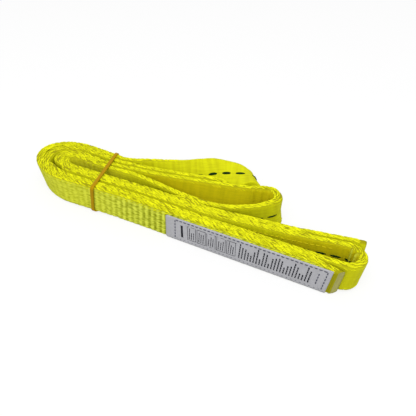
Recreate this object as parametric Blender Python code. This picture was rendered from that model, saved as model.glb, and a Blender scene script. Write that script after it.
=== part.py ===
"""Flat webbing eye sling, folded on edge into a bundle and held by a rubber band.

One length of polyester webbing makes the sling. Each end is turned back into an eye and sewn to the body,
so the body is two plies thick and its two cut ends nearly meet where the bundle is folded at mid-length.
The first eye has half a turn in it, so its tip lies flat; the second eye is plain.
X runs along the bundle, from the nested folds at -X to the middle fold at +X, +Y to its back and +Z up.
The origin is at the middle of the bundle's base. The sketch below is in millimetres.
"""

import math

import bmesh
import bpy
import numpy as np
from mathutils import Vector

MM = 0.001

# Webbing
WEB_WIDTH = 25.0
WEB_THICKNESS = 4.5
EDGE_RADIUS = 1.5
EDGE_STEPS = 2
PLY_GAP = 0.7
PLY_PITCH = WEB_THICKNESS + PLY_GAP
EYE_PITCH = PLY_PITCH + 0.3
LEAST_GAP = 0.4
SEALED_END = 1.2
SEALED_SHRINK = 0.84

# Middle of the bundle's outline in the sketch
BUNDLE_CENTRE = np.array((7.4, 43.5, 0.0))

# Nested folds at the left end, outermost ply first
FOLD_X = -91.0
FOLD_REACH = (38.8, 29.4, 19.2, 10.2)
FOLD_FRONT_Y = -0.6
FOLD_BACK_Y = 45.2
FOLD_SKEW = 2.8
FOLD_LEAN = 1.4
FOLD_LEAN_START_X = -68.0
FOLD_PITCH = 5.65
FOLD_STEPS = 11

# Runs: the front plies are straight beyond STRAIGHT_X, and the back plies part at WAIST_X
STRAIGHT_X = -20.0
STRAIGHT_Y = WEB_THICKNESS / 2
WAIST_X = -58.0
WAIST_BACK_Y = 43.8
EVEN_PITCH_X = -43.0
NEST_RUN_X = (-83.0, -75.0, -66.0, -58.0)
FRONT_RUN_X = (-46.0, -33.0, -20.0)
LABEL_RUN_X = (5.0, 30.0, 60.0, 90.0, 115.0, 127.0)

# Loop at mid-length, with the two cut ends beside it
END_1_X = 136.0
END_2_X = 144.0
END_2_RISE = 2.8
LOOP_CENTRE = (135.4, 17.1)
LOOP_LEAN = 1.0
LOOP_STEPS = 9
# How far the loop's back ply has come off the front plies, at each x
LOOP_OPENING = (
    (5.0, 0.0), (22.0, 0.0), (38.0, 0.4), (50.0, 1.7), (62.0, 3.4), (80.0, 5.4),
    (100.0, 8.0), (118.0, 11.2), (128.0, 13.0),
)

# Eyes, as x, y and how far the top edge leans to the left of the strap's travel
EYE_1_BACK = (
    (-48.0, 46.1, 0.8), (-38.0, 49.45, 3.0), (-27.0, 53.4, 5.2), (-12.0, 61.0, 7.0), (2.8, 67.8, 7.7),
)
# Eye 1 has half a turn in it: x, y, z and the width direction, before and after the turn round its tip
EYE_1_OVER = ((11.3, 71.2, 13.1, -0.27, 0.65, 0.72), (22.4, 74.75, 14.25, -0.25, 0.88, 0.41))
EYE_1_UNDER = (
    (38.2, 65.8, 5.0, -0.80, 0.53, -0.25), (32.8, 61.1, 8.7, -0.60, 0.52, -0.60),
    (26.2, 57.5, 12.1, -0.23, 0.36, -0.90), (18.0, 52.8, 12.7, -0.04, 0.09, -0.99),
)
EYE_1_TIP_START = np.array((36.7, 77.6, 15.4))
EYE_1_TIP_RADIUS = 6.0
EYE_1_TIP_AXIS = math.radians(131.0)
EYE_1_TIP_SLOPE = 0.42
EYE_1_TIP_STEPS = 7
EYE_2_BACK = (
    (-40.0, 35.4, 0.0), (-22.0, 37.4, 0.5), (-6.0, 39.9, 1.0), (10.0, 43.0, 1.5),
    (26.0, 46.4, 1.5), (42.0, 50.2, 1.5), (54.0, 54.0, 1.2), (63.0, 57.0, 1.0),
)
EYE_2_TIP = ((70.2, 58.0, 0.8), (74.4, 55.6, 0.5), (75.6, 51.0, 0.3), (73.8, 46.2, 0.3))
EYE_2_FRONT = (
    (-40.0, 29.2, -0.4), (-20.0, 28.6, -1.5), (0.0, 27.4, -3.0), (18.0, 26.8, -3.6), (33.0, 27.0, -3.6),
    (44.0, 28.8, -3.0), (54.0, 32.4, -2.0), (62.0, 36.4, -1.2), (69.0, 41.6, -0.6),
)
# Eye 1's front side lies against this many points of eye 2's back side
SHARED_POINTS = 4

# Stations along the strap
CURVE_SAMPLES = 24
STATION_STEP = 9.0
STATION_TURN = math.radians(12.0)
TANGENT_REACH = 0.5
# The gap between plies is measured in this step, at these heights of a face and on the section's corners
GAP_STEP = 2.0
GAP_HEIGHTS = (-8.0, -4.0, 0.0, 4.0, 8.0)
# Stretches nearer than this along the strap are one bend, not two plies
SAME_BEND = 14.0

# Rubber band, and the lift that it gives the bundle that it passes beneath
BAND_X = -63.5
BAND_SKEW = 5.5
BAND_WIDTH = 2.6
BAND_THICKNESS = 0.9
BAND_EDGE = 0.3
BAND_CLEARANCE = 0.35
BAND_CORNER = 2.2
BAND_CORNER_STEPS = 5
BAND_LIFT = 1.3
BAND_LIFT_REACH = 45.0

# Label, sewn to the front ply beside its cut end
LABEL_START_X = 7.0
LABEL_LENGTH = 123.5
LABEL_WIDTH = 22.0
LABEL_THICKNESS = 0.5
LABEL_BASE = 1.0
LABEL_CORNER = 0.8
SEAT_GAP = 0.3

# Sewing thread, in stitches that crown between their needle holes
THREAD_RADIUS = 0.35
STITCH_LENGTH = 4.0
STITCH_CROWN = 0.25
LABEL_SEAM_START = 8.0
LABEL_SEAM_END = 3.0
LABEL_SEAM_MARGIN = 1.8
LABEL_END_ROW = 7.8
LABEL_END_MARGIN = 3.5
LAP_ROW_HEIGHT = 7.5
# Each lap seam shows on these faces of the body: stretch, first x, last x and name
LAP_FACES = (
    ("front_body", 50.0, 124.0, "front_lap_thread"),
    ("back_body", 60.0, 124.0, "back_lap_inner_thread"),
    ("back_lap", 78.0, 138.0, "back_lap_outer_thread"),
)

SHARP_ANGLE = math.radians(40.0)

# Finishes, as linear colour and roughness
WEB_FINISH = ((0.72, 0.78, 0.0, 1.0), 0.75)
LABEL_FINISH = ((0.55, 0.55, 0.62, 1.0), 0.6)
LABEL_THREAD_FINISH = ((0.10, 0.10, 0.14, 1.0), 0.7)
BODY_THREAD_FINISH = ((0.80, 0.80, 0.05, 1.0), 0.6)
BAND_FINISH = ((0.33, 0.13, 0.01, 1.0), 0.45)


def smooth(t):
    t = min(max(t, 0.0), 1.0)
    return t * t * (3.0 - 2.0 * t)


def ply_spacing(x):
    """Spacing of neighbouring plies, wider in the nested folds, where the lean brings their faces nearer."""
    return PLY_PITCH + (FOLD_PITCH - PLY_PITCH) * smooth((EVEN_PITCH_X - x) / (EVEN_PITCH_X - FOLD_X))


def front_run(ply, x):
    bend = smooth((x - FOLD_X) / (STRAIGHT_X - FOLD_X))
    return FOLD_FRONT_Y + (STRAIGHT_Y - FOLD_FRONT_Y) * bend + ply * ply_spacing(x)


def back_run(ply, x):
    bend = smooth((x - FOLD_X) / (WAIST_X - FOLD_X))
    return FOLD_BACK_Y + (WAIST_BACK_Y - FOLD_BACK_Y) * bend - ply * ply_spacing(x)


def nest_lean(x):
    """The folds flare: their top edge leans out, most at the tip of the outermost fold."""
    return FOLD_LEAN * smooth((FOLD_LEAN_START_X - x) / (FOLD_LEAN_START_X - FOLD_X + FOLD_REACH[0]))


def nested_fold(ply):
    """Half an ellipse round the left end of the bundle, from the front run to the back run."""
    reach = FOLD_REACH[ply]
    front = front_run(ply, FOLD_X)
    back = back_run(ply, FOLD_X)
    points = []
    for angle in np.linspace(-math.pi / 2, math.pi / 2, FOLD_STEPS):
        x = FOLD_X - reach * math.cos(angle)
        y = (front + back) / 2 + (back - front) / 2 * math.sin(angle)
        skew = FOLD_SKEW * reach / FOLD_REACH[0] * math.cos(angle)
        points.append((x, y + skew, nest_lean(x)))
    return points


def nest(ply):
    """A ply from the straight front run, round its fold, to the waist of the back run."""
    front = [(x, front_run(ply, x), nest_lean(x)) for x in reversed(NEST_RUN_X + FRONT_RUN_X)]
    back = [(x, back_run(ply, x), nest_lean(x)) for x in NEST_RUN_X]
    return front + nested_fold(ply) + back


def beside(points, distance):
    """The line at a steady distance to the left of these points."""
    line = np.array(points)
    along = np.gradient(line[:, :2], axis=0)
    along /= np.linalg.norm(along, axis=1)[:, None]
    line[:, 0] -= distance * along[:, 1]
    line[:, 1] += distance * along[:, 0]
    return [tuple(row) for row in line]


def reverse(points):
    """The same stretch travelled the other way, so that left and right change places."""
    return [(x, y, -lean) for x, y, lean in reversed(points)]


def front_loop():
    """The turn at mid-length, from the second ply to the third."""
    radius = LOOP_CENTRE[1] - front_run(1, LABEL_RUN_X[0])
    points = []
    for angle in np.linspace(-math.pi / 2, math.pi / 2, LOOP_STEPS):
        x = LOOP_CENTRE[0] + radius * math.cos(angle)
        y = LOOP_CENTRE[1] + radius * math.sin(angle)
        points.append((x, y, -LOOP_LEAN * math.cos(angle) ** 2))
    return points


def standing(points, upright):
    """Rows of centre and width direction for a stretch that stands on its edge, from x, y and lean."""
    line = np.array(points)
    along = np.gradient(line[:, :2], axis=0)
    along /= np.linalg.norm(along, axis=1)[:, None]
    sine = line[:, 2] / (WEB_WIDTH / 2)
    cosine = np.sqrt(1.0 - sine ** 2)
    height = band_lift(line[:, 0]) + WEB_WIDTH / 2 * cosine + WEB_THICKNESS / 2 * np.abs(sine)
    width = np.column_stack((-along[:, 1] * sine, along[:, 0] * sine, cosine))
    return np.column_stack((line[:, :2], height, upright * width))


def eye_1_tip():
    """The strap lies flat at eye 1's tip and winds down round a level axis, a little askew."""
    axis = np.array((math.cos(EYE_1_TIP_AXIS), math.sin(EYE_1_TIP_AXIS), 0.0))
    ahead = np.array((axis[1], -axis[0], 0.0))
    down = np.array((0.0, 0.0, -1.0))
    rows = []
    for angle in np.linspace(0.0, math.pi, EYE_1_TIP_STEPS):
        turned = math.sin(angle) * ahead + (1.0 - math.cos(angle)) * down - EYE_1_TIP_SLOPE * angle * axis
        heading = math.cos(angle) * ahead + math.sin(angle) * down
        width = axis + EYE_1_TIP_SLOPE * heading
        rows.append((*(EYE_1_TIP_START + EYE_1_TIP_RADIUS * turned), *(width / np.linalg.norm(width))))
    return rows


def strap_stretches():
    """The strap from one cut end to the other, as named stretches of rows of centre and width direction.

    The half turn in the first eye leaves the rest of the strap upside down.
    """
    label_run = [(x, front_run(0, x), 0.0) for x in reversed(LABEL_RUN_X)]
    loop_front = [(x, front_run(1, x), 0.0) for x in reversed(LABEL_RUN_X)]
    opening = [(x, front_run(2, x) + off, 0.0) for x, off in LOOP_OPENING]
    lap = beside(opening, PLY_PITCH)[::-1]
    eye_1_front = beside(EYE_2_BACK[:SHARED_POINTS], EYE_PITCH)
    front_lap = [(END_1_X, front_run(0, END_1_X), 0.0)] + label_run + nest(0)
    back_lap = [(END_2_X, lap[0][1] + END_2_RISE, 0.0)] + lap + nest(3)
    eye_1 = (
        standing(EYE_1_BACK, 1), EYE_1_OVER, eye_1_tip(), EYE_1_UNDER, standing(reverse(eye_1_front), -1)
    )
    return (
        ("front_lap", standing(front_lap, 1)),
        ("eye_1", np.vstack(eye_1)),
        ("front_body", standing(reverse(loop_front + nest(1)), -1)),
        ("loop", standing(front_loop(), -1)),
        ("back_body", standing(opening[::-1] + nest(2), -1)),
        ("eye_2", standing(list(EYE_2_BACK + EYE_2_TIP) + reverse(EYE_2_FRONT), -1)),
        ("back_lap", standing(reverse(back_lap), -1)),
    )


def smooth_curve(points):
    """Centripetal Catmull-Rom curve through the points, finely sampled."""
    ends = np.vstack([2 * points[0] - points[1], points, 2 * points[-1] - points[-2]])
    samples = []
    for start in range(len(points) - 1):
        p = ends[start:start + 4]
        chords = np.linalg.norm(np.diff(p[:, :3], axis=0), axis=1)
        knot = np.concatenate([[0.0], np.cumsum(np.sqrt(chords))])
        t = np.linspace(knot[1], knot[2], CURVE_SAMPLES, endpoint=False)[:, None]

        def between(first, second, low, high):
            return ((high - t) * first + (t - low) * second) / (high - low)

        outer = [between(p[i], p[i + 1], knot[i], knot[i + 1]) for i in range(3)]
        inner = [between(outer[i], outer[i + 1], knot[i], knot[i + 2]) for i in range(2)]
        samples.append(between(inner[0], inner[1], knot[1], knot[2]))
    return np.vstack(samples + [points[-1:]])


def band_lift(x):
    """The bundle stands off the floor where the band passes beneath it."""
    reach = np.clip((x - BAND_X) / BAND_LIFT_REACH, -1.0, 1.0)
    return BAND_LIFT * (1.0 - reach ** 2) ** 2


class Strap:
    """The strap's route, read by distance from the first cut end."""

    def __init__(self):
        stretches = strap_stretches()
        names = [name for name, rows in stretches for _ in rows]
        self.curve = smooth_curve(np.vstack([rows for _, rows in stretches]))
        self.names = np.repeat(names, CURVE_SAMPLES)[:len(self.curve)]
        chords = np.linalg.norm(np.diff(self.curve[:, :3], axis=0), axis=1)
        self.distance = np.concatenate([[0.0], np.cumsum(chords)])
        self.length = self.distance[-1]

    def find(self, name, x):
        """The distance at which the named stretch passes x."""
        own = np.flatnonzero(self.names == name)
        return self.distance[own[np.abs(self.curve[own, 0] - x).argmin()]]

    def rows(self, distance):
        return np.column_stack([np.interp(distance, self.distance, column) for column in self.curve.T])

    def frames(self, distance):
        """Centre, direction through the thickness and direction across the width, at these distances."""
        distance = np.asarray(distance, float)
        rows = self.rows(distance)
        along = self.rows(distance + TANGENT_REACH)[:, :3] - self.rows(distance - TANGENT_REACH)[:, :3]
        along /= np.linalg.norm(along, axis=1)[:, None]
        width = rows[:, 3:]
        across = width - (width * along).sum(axis=1)[:, None] * along
        across /= np.linalg.norm(across, axis=1)[:, None]
        through = np.cross(across, along)
        half_height = WEB_WIDTH / 2 * np.abs(across[:, 2]) + WEB_THICKNESS / 2 * np.abs(through[:, 2])
        centre = rows[:, :3] - BUNDLE_CENTRE
        centre[:, 2] = np.maximum(centre[:, 2], half_height)
        return centre, through, across

    def stations(self):
        """Distances for the swept rings: closer together where the strap turns."""
        fine = np.linspace(0.0, self.length, int(self.length))
        _, through, _ = self.frames(fine)
        turn = np.arccos(np.clip((through[1:] * through[:-1]).sum(axis=1), -1.0, 1.0))
        effort = np.maximum(np.diff(fine) / STATION_STEP, turn / STATION_TURN)
        total = np.concatenate([[0.0], np.cumsum(effort)])
        return np.interp(np.linspace(0.0, total[-1], math.ceil(total[-1]) + 1), total, fine)

    def least_gap(self):
        """The least gap between the strap's own plies, from points of its section to the others' faces."""
        distance = np.arange(0.0, self.length, GAP_STEP)
        centre, through, across = self.frames(distance)
        faces = [(side * WEB_THICKNESS / 2, height) for side in (-1, 1) for height in GAP_HEIGHTS]
        probes = rounded_rectangle(WEB_THICKNESS, WEB_WIDTH, EDGE_RADIUS, EDGE_STEPS) + faces
        points = np.concatenate([centre + t * through + w * across for t, w in probes])
        owner = np.tile(distance, len(probes))
        least = math.inf
        for i, own in enumerate(distance):
            apart = points[np.abs(owner - own) > SAME_BEND] - centre[i]
            depth = apart @ through[i]
            height = apart @ across[i]
            along = apart @ np.cross(across[i], through[i])
            near = (np.abs(along) < GAP_STEP) & (np.abs(height) < WEB_WIDTH / 2)
            if near.any():
                least = min(least, np.abs(depth[near]).min() - WEB_THICKNESS / 2)
        return least


def rounded_rectangle(width, height, radius, steps):
    """Corners of a rectangle with rounded corners, anticlockwise."""
    corners = []
    for quarter, (sx, sy) in enumerate(((1, 1), (-1, 1), (-1, -1), (1, -1))):
        for step in range(steps + 1):
            angle = math.pi / 2 * (quarter + step / steps)
            x = sx * (width / 2 - radius) + radius * math.cos(angle)
            y = sy * (height / 2 - radius) + radius * math.sin(angle)
            corners.append((x, y))
    return corners


def material(name, colour, roughness):
    made = bpy.data.materials.new(name)
    made.use_nodes = True
    shader = made.node_tree.nodes["Principled BSDF"]
    shader.inputs["Base Color"].default_value = colour
    shader.inputs["Roughness"].default_value = roughness
    shader.inputs["Metallic"].default_value = 0.0
    return made


def add_object(name, data, finish, location=(0.0, 0.0, 0.0)):
    obj = bpy.data.objects.new(name, data)
    obj.location = location
    data.materials.append(finish)
    bpy.context.scene.collection.objects.link(obj)
    return obj


def add_mesh(name, bm, finish, location=(0.0, 0.0, 0.0)):
    bmesh.ops.recalc_face_normals(bm, faces=bm.faces)
    mesh = bpy.data.meshes.new(name)
    bm.to_mesh(mesh)
    bm.free()
    mesh.shade_smooth()
    mesh.set_sharp_from_angle(angle=SHARP_ANGLE)
    return add_object(name, mesh, finish, location)


def sweep(rings, closed):
    """A solid drawn through rings of points: a bar with capped ends, or a closed hoop."""
    bm = bmesh.new()
    first = [bm.verts.new(Vector(point) * MM) for point in rings[0]]
    start = [bm.edges.new((vert, first[i - 1])) for i, vert in enumerate(first)]
    edges = start
    for ring in rings[1:]:
        made = bmesh.ops.extrude_edge_only(bm, edges=edges)["geom"]
        verts = [item for item in made if isinstance(item, bmesh.types.BMVert)]
        edges = [item for item in made if isinstance(item, bmesh.types.BMEdge)]
        for vert, point in zip(verts, ring):
            vert.co = Vector(point) * MM
    if closed:
        bmesh.ops.bridge_loops(bm, edges=start + edges)
    else:
        bmesh.ops.edgenet_fill(bm, edges=start)
        bmesh.ops.edgenet_fill(bm, edges=edges)
    return bm


def add_webbing(strap, finish):
    """The one length of webbing, with its heat-sealed ends drawn in a little."""
    stations = strap.stations()
    sealed = np.array((0.0, strap.length))
    stations = np.concatenate([[0.0], np.clip(stations[1:-1], 2 * SEALED_END, None), [strap.length]])
    stations = np.unique(np.concatenate([stations, sealed + (SEALED_END, -SEALED_END)]))
    section = rounded_rectangle(WEB_THICKNESS, WEB_WIDTH, EDGE_RADIUS, EDGE_STEPS)
    rings = []
    for distance, centre, through, across in zip(stations, *strap.frames(stations)):
        shrink = SEALED_SHRINK if distance in sealed else 1.0
        inset = (1.0 - shrink) * WEB_THICKNESS / WEB_WIDTH
        rings.append([centre + shrink * t * through + (1.0 - inset) * w * across for t, w in section])
    return add_mesh("webbing", sweep(rings, closed=False), finish)


def add_label(finish):
    """A woven tag lying flat on the front ply."""
    bm = bmesh.new()
    bmesh.ops.create_grid(bm, x_segments=1, y_segments=1, size=0.5)
    bmesh.ops.scale(bm, vec=(LABEL_LENGTH * MM, LABEL_WIDTH * MM, 1.0), verts=bm.verts)
    bmesh.ops.bevel(
        bm, geom=bm.verts[:], offset=LABEL_CORNER * MM, segments=2, profile=0.5, affect="VERTICES"
    )
    sheet = bmesh.ops.extrude_face_region(bm, geom=bm.faces[:])["geom"]
    raised = [item for item in sheet if isinstance(item, bmesh.types.BMVert)]
    bmesh.ops.translate(bm, vec=(0.0, 0.0, LABEL_THICKNESS * MM), verts=raised)
    label = add_mesh("label", bm, finish)
    centre = np.array((LABEL_START_X + LABEL_LENGTH / 2, -SEAT_GAP, LABEL_BASE + LABEL_WIDTH / 2))
    label.location = (centre - BUNDLE_CENTRE) * MM
    label.rotation_euler = (math.pi / 2, 0.0, 0.0)
    return label


def add_thread(name, points, finish, cyclic=False):
    curve = bpy.data.curves.new(name, "CURVE")
    curve.dimensions = "3D"
    curve.bevel_depth = THREAD_RADIUS * MM
    curve.bevel_resolution = 1
    curve.use_fill_caps = not cyclic
    spline = curve.splines.new("POLY")
    spline.points.add(len(points) - 1)
    for knot, point in zip(spline.points, points):
        knot.co = (*(np.array(point) * MM), 1.0)
    spline.use_cyclic_u = cyclic
    return add_object(name, curve, finish)


def stitched(corners):
    """Points of a thread along straight lines between these corners, crowned between needle holes."""
    points = []
    for start, end in zip(corners[:-1], corners[1:]):
        start, end = np.array(start), np.array(end)
        stitches = max(1, round(np.linalg.norm(end - start) / STITCH_LENGTH))
        for half in range(2 * stitches):
            crown = (0.0, -STITCH_CROWN * (half % 2), 0.0)
            points.append(start + (end - start) * half / (2 * stitches) + crown)
    return points


def add_label_seams(finish):
    """One seam right round the label, and a second row at the end beside the cut end."""
    face = -SEAT_GAP - LABEL_THICKNESS - SEAT_GAP - THREAD_RADIUS
    end_x = LABEL_START_X + LABEL_LENGTH
    left = LABEL_START_X + LABEL_SEAM_START
    right = end_x - LABEL_SEAM_END
    low = LABEL_BASE + LABEL_SEAM_MARGIN
    high = LABEL_BASE + LABEL_WIDTH - LABEL_SEAM_MARGIN
    corners = [(left, low), (right, low), (right, high), (left, high), (left, low)]
    loop = [np.array((x, face, z)) - BUNDLE_CENTRE for x, z in corners]
    add_thread("label_seam_thread", stitched(loop), finish, cyclic=True)
    row_x = end_x - LABEL_END_ROW
    row = [(row_x, face, low + LABEL_END_MARGIN), (row_x, face, high - LABEL_END_MARGIN)]
    add_thread("label_end_thread", stitched([np.array(point) - BUNDLE_CENTRE for point in row]), finish)


def add_lap_seams(strap, finish):
    """Rows of body stitching, as they show on the open faces of the two laps."""
    for stretch, first_x, last_x, name in LAP_FACES:
        start, end = sorted((strap.find(stretch, first_x), strap.find(stretch, last_x)))
        stitches = round((end - start) / STITCH_LENGTH)
        halves = np.linspace(start, end, 2 * stitches + 1)
        centre, through, across = strap.frames(halves)
        stand = WEB_THICKNESS / 2 + SEAT_GAP + THREAD_RADIUS + STITCH_CROWN * (np.arange(len(halves)) % 2)
        for row, height in (("upper", LAP_ROW_HEIGHT), ("lower", -LAP_ROW_HEIGHT)):
            add_thread(f"{name}_{row}", centre - stand[:, None] * through - height * across, finish)


def add_rubber_band(finish):
    """A flat hoop round the waist of the bundle, a little askew, with its origin on its sliding axis."""
    front_x = BAND_X + BAND_SKEW
    back_x = BAND_X - BAND_SKEW
    stand_off = WEB_THICKNESS / 2 + BAND_CLEARANCE + BAND_THICKNESS / 2
    front = front_run(0, front_x) - stand_off
    back = back_run(0, back_x) + stand_off
    depth = back - front
    height = WEB_WIDTH + 2 * BAND_CLEARANCE + BAND_THICKNESS
    middle = np.array((BAND_X, (front + back) / 2, BAND_LIFT + WEB_WIDTH / 2)) - BUNDLE_CENTRE
    hoop = rounded_rectangle(depth, height, BAND_CORNER, BAND_CORNER_STEPS)
    section = rounded_rectangle(BAND_WIDTH, BAND_THICKNESS, BAND_EDGE, 1)
    rings = []
    for i, (y, z) in enumerate(hoop):
        to_next = Vector(hoop[(i + 1) % len(hoop)]) - Vector(hoop[i - 1])
        out = Vector((to_next.y, -to_next.x)).normalized()
        x = -2 * BAND_SKEW * y / depth
        rings.append([(x + w, y + t * out.x, z + t * out.y) for w, t in section])
    return add_mesh("rubber_band", sweep(rings, closed=True), finish, middle * MM)


def main():
    for obj in list(bpy.data.objects):
        bpy.data.objects.remove(obj, do_unlink=True)
    strap = Strap()
    add_webbing(strap, material("polyester webbing", *WEB_FINISH))
    add_label(material("woven label", *LABEL_FINISH))
    add_label_seams(material("label thread", *LABEL_THREAD_FINISH))
    add_lap_seams(strap, material("body thread", *BODY_THREAD_FINISH))
    add_rubber_band(material("natural rubber", *BAND_FINISH))
    gap = strap.least_gap()
    print(f"strap {strap.length:.0f} mm, least gap between its plies {gap:.2f} mm")
    if gap <= LEAST_GAP:
        raise ValueError(f"plies nearer than {LEAST_GAP} mm")


if __name__ == "__main__":
    main()
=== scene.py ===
"""Looks of a flat webbing eye sling, folded on edge into a bundle and held by a rubber band.

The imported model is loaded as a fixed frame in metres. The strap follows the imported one's route, whose sketch
is in millimetres: X runs along the bundle, from the nested folds to the middle fold, +Y to its back, +Z up.
"""

import math

import bmesh
import bpy
import numpy as np
from bpy.props import FloatProperty, FloatVectorProperty, PointerProperty
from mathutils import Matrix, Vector


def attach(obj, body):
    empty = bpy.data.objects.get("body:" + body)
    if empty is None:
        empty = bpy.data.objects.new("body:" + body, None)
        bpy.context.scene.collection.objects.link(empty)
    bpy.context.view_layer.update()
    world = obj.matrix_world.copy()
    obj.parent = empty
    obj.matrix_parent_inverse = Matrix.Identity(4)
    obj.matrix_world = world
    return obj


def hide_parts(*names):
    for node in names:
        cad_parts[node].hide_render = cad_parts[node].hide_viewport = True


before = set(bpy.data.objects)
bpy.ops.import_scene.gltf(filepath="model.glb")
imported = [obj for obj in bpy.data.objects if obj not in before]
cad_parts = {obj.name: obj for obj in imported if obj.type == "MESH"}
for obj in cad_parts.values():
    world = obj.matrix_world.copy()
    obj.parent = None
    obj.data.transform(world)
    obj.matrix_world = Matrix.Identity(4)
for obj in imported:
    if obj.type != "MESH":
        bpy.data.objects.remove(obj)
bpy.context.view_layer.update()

bl_info = {
    "name": "Webbing eye sling",
    "version": (1, 0, 0),
    "blender": (4, 5, 0),
    "location": "View3D > Sidebar > Sling",
    "description": "Builds a folded webbing eye sling with its label, stitching and rubber band",
    "category": "Add Mesh",
}

MM = 0.001
SEED = 7
WELD = 1e-7

# Webbing
WEB_WIDTH = 25.0
WEB_THICKNESS = 4.5
PLY_GAP = 0.7
PLY_PITCH = WEB_THICKNESS + PLY_GAP
EYE_GAP = 1.0
EYE_PITCH = WEB_THICKNESS + EYE_GAP

# Middle of the bundle's outline in the sketch
BUNDLE_CENTRE = np.array((7.4, 43.5, 0.0))

# Nested folds at the left end, outermost ply first
FOLD_X = -91.0
FOLD_REACH = (38.8, 29.4, 19.2, 10.2)
FOLD_FRONT_Y = -0.6
FOLD_BACK_Y = 45.2
FOLD_SKEW = 2.8
FOLD_LEAN = 1.4
FOLD_LEAN_START_X = -68.0
FOLD_PITCH = 5.65
FOLD_STEPS = 11

# Runs: the front plies are straight beyond STRAIGHT_X, and the back plies part at WAIST_X
STRAIGHT_X = -20.0
STRAIGHT_Y = WEB_THICKNESS / 2
WAIST_X = -58.0
WAIST_BACK_Y = 43.8
EVEN_PITCH_X = -43.0
NEST_RUN_X = (-83.0, -75.0, -66.0, -58.0)
FRONT_RUN_X = (-46.0, -33.0, -20.0)
LABEL_RUN_X = (5.0, 30.0, 60.0, 90.0, 115.0, 127.0)

# Loop at mid-length, with the two cut ends beside it
END_1_X = 136.0
END_2_X = 144.0
END_2_RISE = 2.8
LOOP_CENTRE = (135.4, 17.1)
LOOP_LEAN = 1.0
LOOP_STEPS = 9
# How far the loop's back ply has come off the front plies, at each x
LOOP_OPENING = (
    (5.0, 0.0), (22.0, 0.0), (38.0, 0.4), (50.0, 1.7), (62.0, 3.4), (80.0, 5.4),
    (100.0, 8.0), (118.0, 11.2), (128.0, 13.0),
)

# Eyes, as x, y and how far the top edge leans to the left of the strap's travel
EYE_1_BACK = (
    (-48.0, 46.1, 0.8), (-38.0, 49.45, 3.0), (-27.0, 53.4, 5.2), (-12.0, 61.0, 7.0), (2.8, 67.8, 7.7),
)
# Eye 1 has half a turn in it: x, y, z and the width direction, before and after the turn round its tip
EYE_1_OVER = ((11.3, 71.2, 13.1, -0.27, 0.65, 0.72), (22.4, 74.75, 14.25, -0.25, 0.88, 0.41))
EYE_1_UNDER = (
    (38.2, 65.8, 5.0, -0.80, 0.53, -0.25), (32.8, 61.1, 8.7, -0.60, 0.52, -0.60),
    (26.2, 57.5, 12.1, -0.23, 0.36, -0.90), (18.0, 52.8, 12.7, -0.04, 0.09, -0.99),
)
EYE_1_TIP_START = np.array((36.7, 77.6, 15.4))
EYE_1_TIP_RADIUS = 6.0
EYE_1_TIP_AXIS = math.radians(131.0)
EYE_1_TIP_SLOPE = 0.42
EYE_1_TIP_STEPS = 7
EYE_2_BACK = (
    (-40.0, 35.4, 0.0), (-22.0, 37.4, 0.5), (-6.0, 39.9, 1.0), (10.0, 43.0, 1.5),
    (26.0, 46.4, 1.5), (42.0, 50.2, 1.5), (54.0, 54.0, 1.2), (63.0, 57.0, 1.0),
)
EYE_2_TIP = ((70.2, 58.0, 0.8), (74.4, 55.6, 0.5), (75.6, 51.0, 0.3), (73.8, 46.2, 0.3))
EYE_2_FRONT = (
    (-40.0, 29.2, -0.4), (-20.0, 28.6, -1.5), (0.0, 27.4, -3.0), (18.0, 26.8, -3.6), (33.0, 27.0, -3.6),
    (44.0, 28.8, -3.0), (54.0, 32.4, -2.0), (62.0, 36.4, -1.2), (69.0, 41.6, -0.6),
)
# Eye 1's front side lies against this many points of eye 2's back side
SHARED_POINTS = 4

CURVE_SAMPLES = 24
TANGENT_REACH = 0.5

# Mesh of the webbing: the spacing of its rings from each distance on, close along the ribbed front ply
FRONT_END = 310.0
RING_STEPS = (
    (0.0, 0.6), (FRONT_END, 1.6), (930.0, 0.6), (962.0, 1.6), (1374.0, 0.8), (1398.0, 1.6), (1540.0, 1.0),
    (1600.0, 1.6),
)
# The two faces, as a column of the outline's tables and a side through the strap
FACES = ((0, -1.0), (1, 1.0))
FREE_EDGE = 1.5
SEWN_EDGE = 0.45
EDGE_STEPS = 3
FACE_STEPS = 24

# Sewn pairs of plies: a stretch, the one that it is sewn to, and the column of the face that is sewn
SEWN_FACES = (
    ("front_lap", "front_body", 0), ("front_body", "front_lap", 1),
    ("back_body", "back_lap", 1), ("back_lap", "back_body", 1),
)
SEWN_LINE = -0.2
SEWN_END_X = (132.0, 122.0)
SEWN_WAIST_X = (-62.0, -80.0)
FRONT_SIDE_Y = 22.0
FILL_MOST = 2.6
# The two faces between the pairs, which swell towards each other round the nested folds, but for a hole
FACING_FACES = (("front_body", "back_body", 0), ("back_body", "front_body", 0))
SWELL_X = (-84.0, -96.0)
SWELL_GAP = 0.5
SWELL_HOLE = 4.4
SWELL_HOLE_LENGTH = 4.0
SWELL_HOLE_SHIFT = 14.0
SWELL_CUT = 1.8
SWELL_EDGE = 0.9
PAIR_LINE = 0.3
PAIR_CLOSE = (3.0, 2.0)
# Bunched cloth inside the turns: the middle distance, the half length, the face and how far it stands in
BUNCHES = ((944.5, 15.0, 0, 2.3), (1404.0, 13.0, 1, 3.0), (1713.0, 8.0, 0, 3.0), (468.0, 6.0, 0, 1.6))
# Where an edge is drawn out or in: which edge, the middle distance, the half length and how far
EDGE_DRAWS = (
    (1, 426.0, 14.0, 2.0), (1, 464.0, 7.0, -3.0), (-1, 455.0, 10.0, 3.0), (-1, 1392.0, 12.0, 1.4),
    (-1, 1403.0, 6.0, -1.8), (1, 930.0, 12.0, -1.8), (1, 0.0, 12.0, -2.5),
)
# Where the middle eye's lower edge flares outwards, the middle distance and the half length, and how far
FLARE_AT = (1406.0, 12.0)
FLARE = 2.4
# The cloth lies flat where it meets the floor
FLOOR_CLEAR = 0.05

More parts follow.
